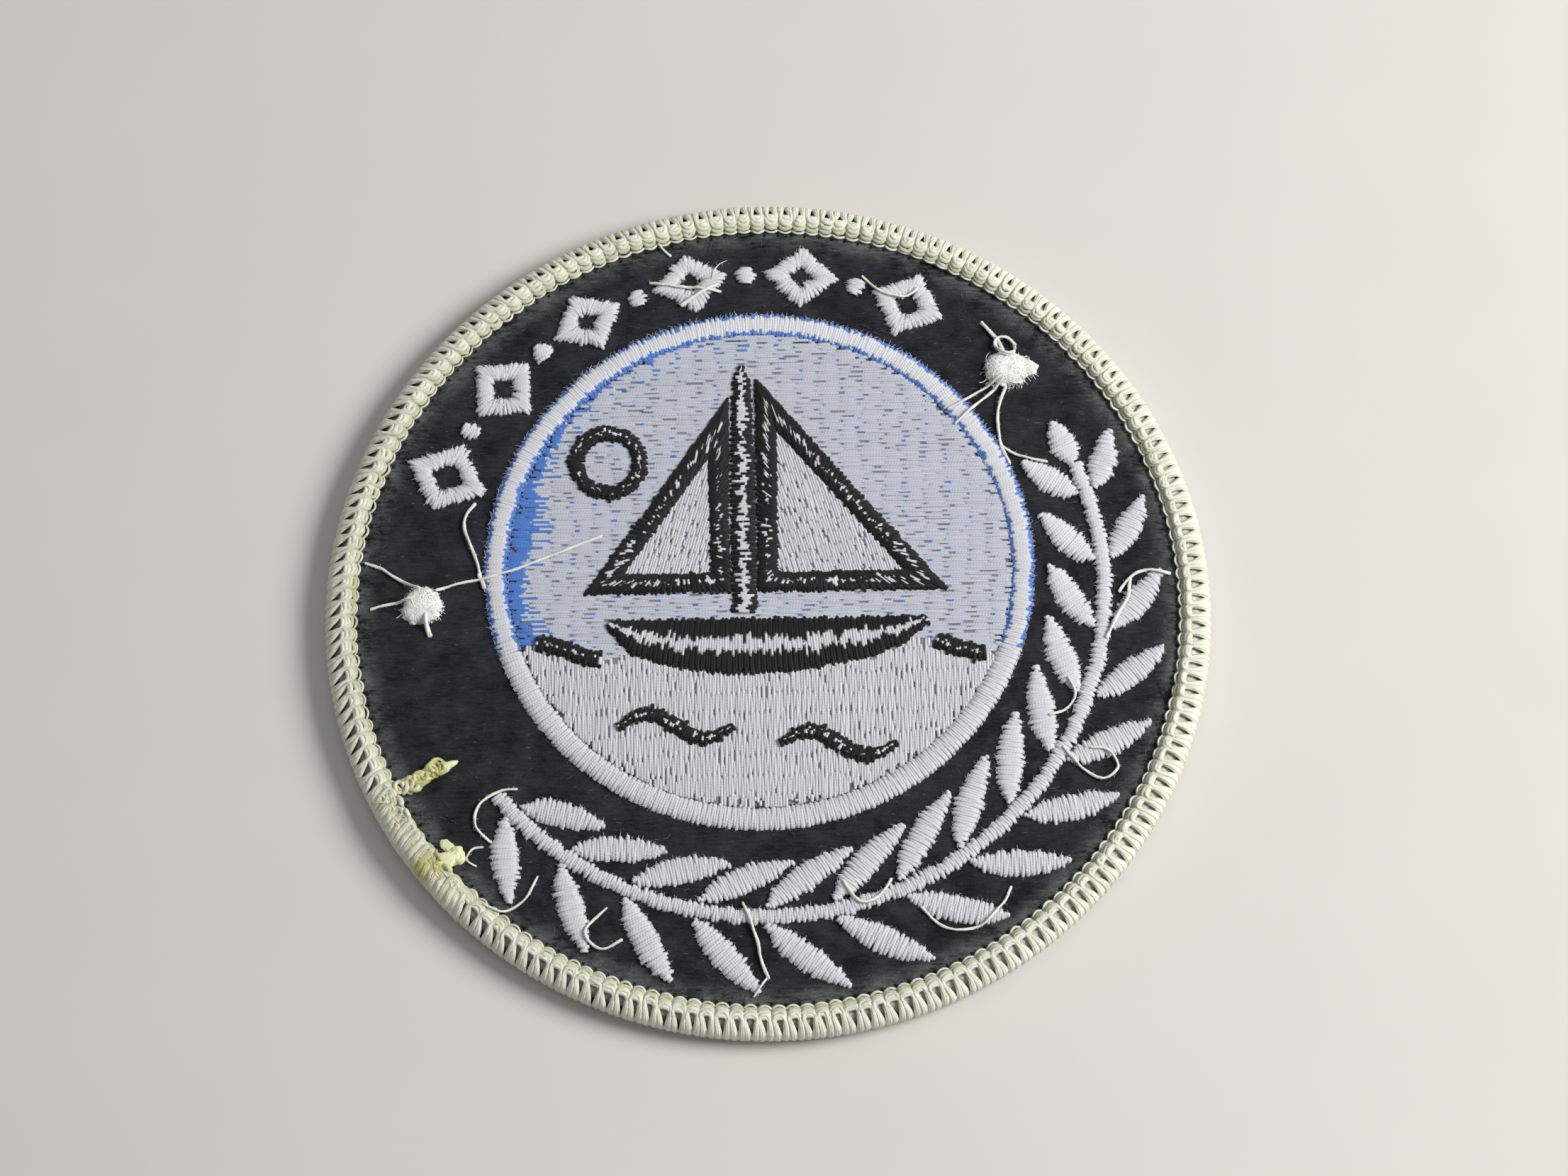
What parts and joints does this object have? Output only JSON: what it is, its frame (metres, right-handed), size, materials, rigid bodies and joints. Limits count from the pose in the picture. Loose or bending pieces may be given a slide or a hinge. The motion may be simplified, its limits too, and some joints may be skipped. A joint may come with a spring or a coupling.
{
  "type": "round embroidered patch",
  "caption": "Round embroidered cloth patch with an overlocked thread edge, lying face down with its felt-backed reverse and bobbin stitches uppermost.",
  "frame": {"origin": "on the surface that the patch lies on, under the middle of its round outline", "axes": "+Z out of the reverse, through the thickness; +X to the right and +Y up the picture as seen from the reverse"},
  "size_m": [0.089, 0.089, 0.0035],
  "materials": {
    "twill_cloth": "black cotton twill that carries the embroidery",
    "felt_backing": "charcoal needled felt, matt and slightly fuzzy",
    "cream_thread": "glossy cream textured thread, wrapped round the edge",
    "white_thread": "white spun bobbin thread in satin and filling stitches",
    "blue_thread": "bright blue embroidery thread that shows at the sides of white bobbin stitches",
    "black_thread": "black embroidery thread with a slight sheen",
    "dried_glue": "dab of dried yellowish glue"
  },
  "bodies": {
    "root": {"ground_cloth": "twill_cloth", "backing": "felt_backing", "merrow_border": "cream_thread", "border_lap": "cream_thread", "border_tail": "cream_thread", "glue_dab": "dried_glue", "sky_fill": "white_thread", "sea_fill": "white_thread", "ring_blue": "blue_thread", "ring_white": "white_thread", "horizon_left": "black_thread", "horizon_right": "black_thread", "hull": "black_thread", "mast": "black_thread", "main_sail": "white_thread", "main_sail_edge": "black_thread", "fore_sail": "white_thread", "fore_sail_edge": "black_thread", "sun": "black_thread", "wave_crest_left": "black_thread", "wave_crest_right": "black_thread", "garland_stem": "white_thread", "garland_tip": "white_thread", "knot_dot_left": "white_thread", "knot_dot_right": "white_thread", "leaf_pair_01": "white_thread", "leaf_pair_02": "white_thread", "leaf_pair_03": "white_thread", "leaf_pair_04": "white_thread", "leaf_pair_05": "white_thread", "leaf_pair_06": "white_thread", "leaf_pair_07": "white_thread", "leaf_pair_08": "white_thread", "leaf_pair_09": "white_thread", "leaf_pair_10": "white_thread", "leaf_pair_11": "white_thread", "leaf_pair_12": "white_thread", "leaf_pair_13": "white_thread", "leaf_pair_14": "white_thread", "lozenge_1": "white_thread", "lozenge_2": "white_thread", "lozenge_3": "white_thread", "lozenge_4": "white_thread", "lozenge_5": "white_thread", "lozenge_6": "white_thread", "dot_1": "white_thread", "dot_2": "white_thread", "dot_3": "white_thread", "dot_4": "white_thread", "dot_5": "white_thread"}
  },
  "joints": []
}
